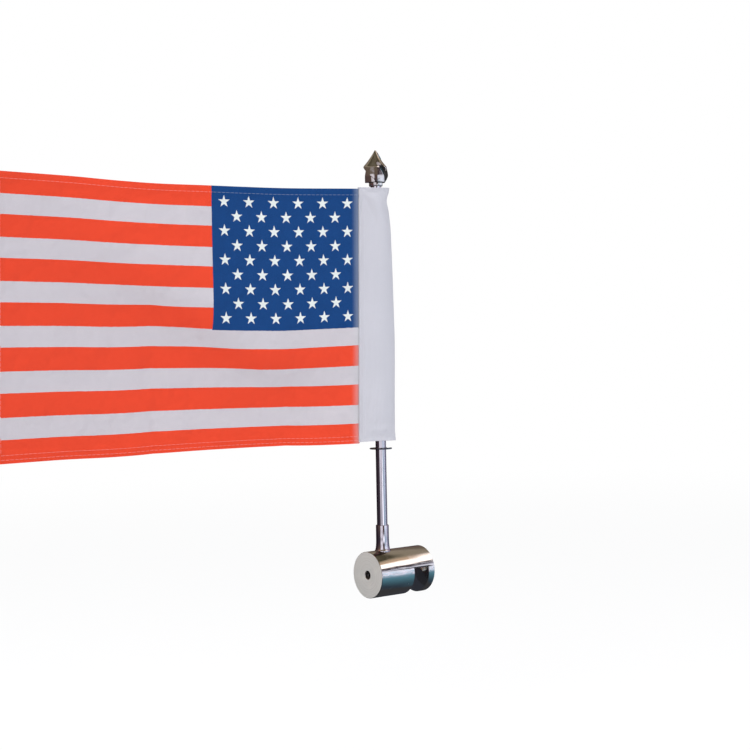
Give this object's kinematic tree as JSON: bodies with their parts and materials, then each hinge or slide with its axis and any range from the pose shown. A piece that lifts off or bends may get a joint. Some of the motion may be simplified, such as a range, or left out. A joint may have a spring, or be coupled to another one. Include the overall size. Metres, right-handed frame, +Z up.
{
  "type": "rack-mount flag",
  "caption": "Small printed flag with a white sleeve on a vertical chromed pole, in a billet barrel that hooks over a luggage rack's flat bar and is clamped by a set screw.",
  "frame": {"origin": "on the inner face of the barrel's lip, where the rack's bar bears, on the barrel's axis", "axes": "+X along the barrel away from its outer face, +Z up the pole, +Y along the rack's bar"},
  "size_m": [0.2701, 0.0421, 0.269],
  "materials": {
    "barrel_chrome": "polished all round, with satin-turned ends",
    "pole_chrome": "polished",
    "finial_chrome": "polished",
    "black_steel": "black oxide, lightly oiled",
    "spring_steel": "dark phosphate",
    "plated_steel": "bright zinc",
    "nylon": "natural, matt",
    "sleeve_cloth": "white woven polyester",
    "flag_print": "printed woven polyester: red and white stripes, blue field with white stars",
    "white_thread": "twisted polyester thread",
    "hem_thread": "fine clear filament that shows the print under it"
  },
  "bodies": {
    "mount": {"mount_body": "barrel_chrome", "pole": "pole_chrome", "pole_ferrule": "pole_chrome", "flag_clip": "spring_steel"},
    "flag": {"flag_panel": "flag_print", "pole_sleeve": "sleeve_cloth", "sleeve_stitching": "white_thread", "top_hem_stitching": "hem_thread", "bottom_hem_stitching": "hem_thread", "fly_hem_stitching": "hem_thread"},
    "finial": {"finial": "finial_chrome", "finial_collar": "finial_chrome", "finial_stud": "plated_steel"},
    "clamp_plug": {"clamp_plug": "nylon"},
    "clamp_screw": {"clamp_screw": "black_steel"}
  },
  "joints": [
    {"name": "flag_swivel", "type": "hinge", "parent": "mount", "child": "flag", "pos_m": [-0.0245, 0, 0.15], "axis": [0, 0, 1], "continuous": true},
    {"name": "finial_unscrew", "type": "hinge", "parent": "mount", "child": "finial", "pos_m": [-0.0245, 0, 0.235], "axis": [0, 0, 1], "range_deg": [0, 360]},
    {"name": "clamp_plug_feed", "type": "slide", "parent": "mount", "child": "clamp_plug", "axis": [1, 0, 0], "range_m": [-0.00212, 0.00317]},
    {"name": "clamp_screw_turn", "type": "hinge", "parent": "clamp_plug", "child": "clamp_screw", "pos_m": [-0.0236, 0, 0], "axis": [1, 0, 0], "range_deg": [-721, 1081]}
  ],
  "couplings": [
    {"joint": "clamp_screw_turn", "follows": "clamp_plug_feed", "rad_per_m": 5938.7}
  ]
}
